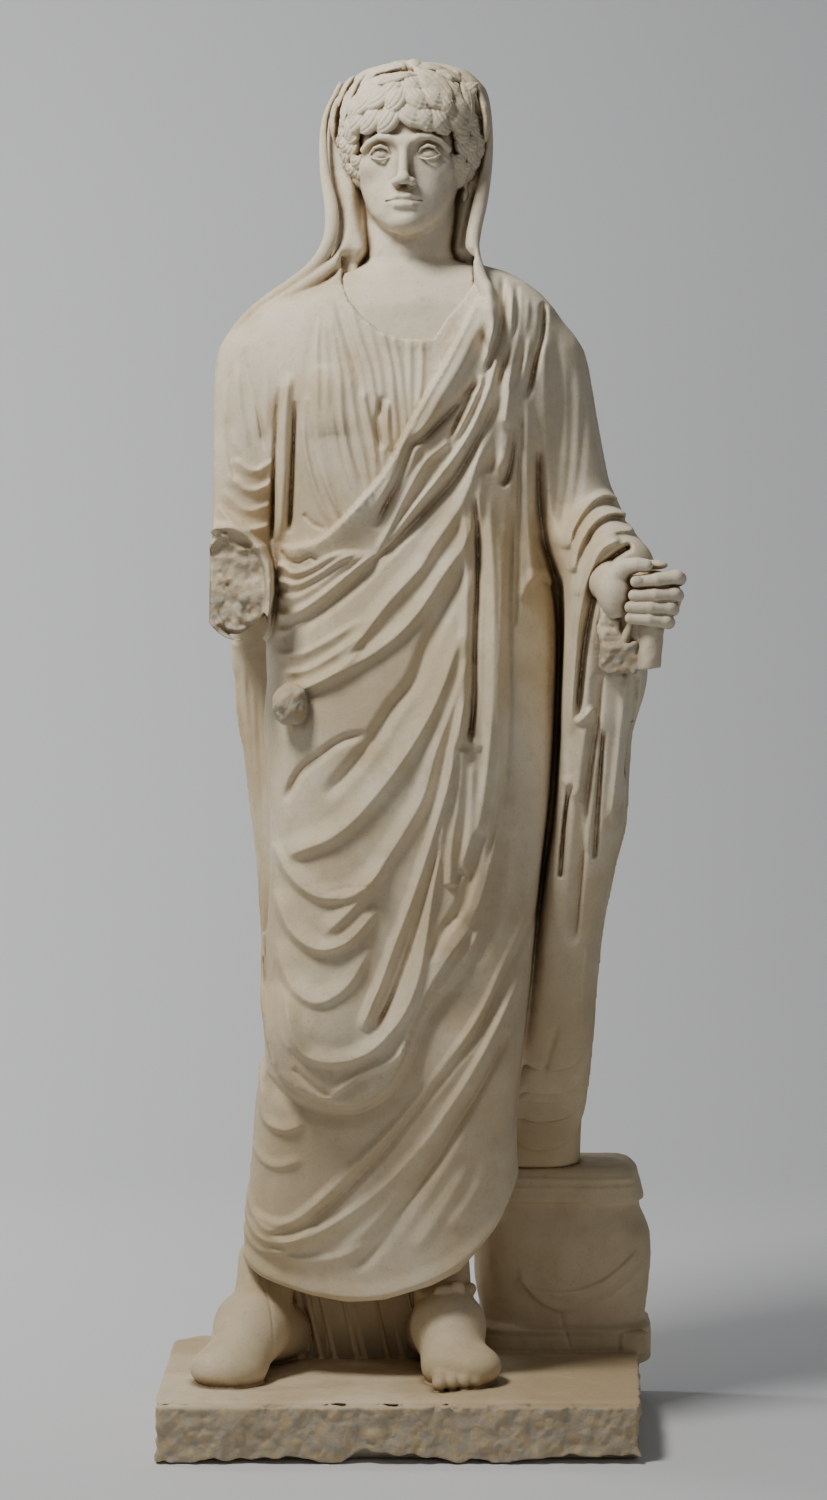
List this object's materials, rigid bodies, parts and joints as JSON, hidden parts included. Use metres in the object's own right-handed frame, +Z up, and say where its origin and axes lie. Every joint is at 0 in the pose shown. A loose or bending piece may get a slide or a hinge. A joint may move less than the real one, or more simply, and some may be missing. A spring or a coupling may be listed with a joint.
{
  "type": "classical marble statue",
  "caption": "Life-size marble statue of a veiled, wreathed, toga-draped standing figure with a broken forearm, a scroll box beside the feet and an integral plinth.",
  "frame": {"origin": "middle of the plinth's flat underside", "axes": "+Z up along the figure's height, -Y the way the figure faces, +X toward the viewer's right (the figure's own left)"},
  "size_m": [0.7386, 0.48, 1.958],
  "materials": {
    "marble": "matt carved marble with warm patina"
  },
  "bodies": {
    "root": {"statue": "marble"}
  },
  "joints": []
}
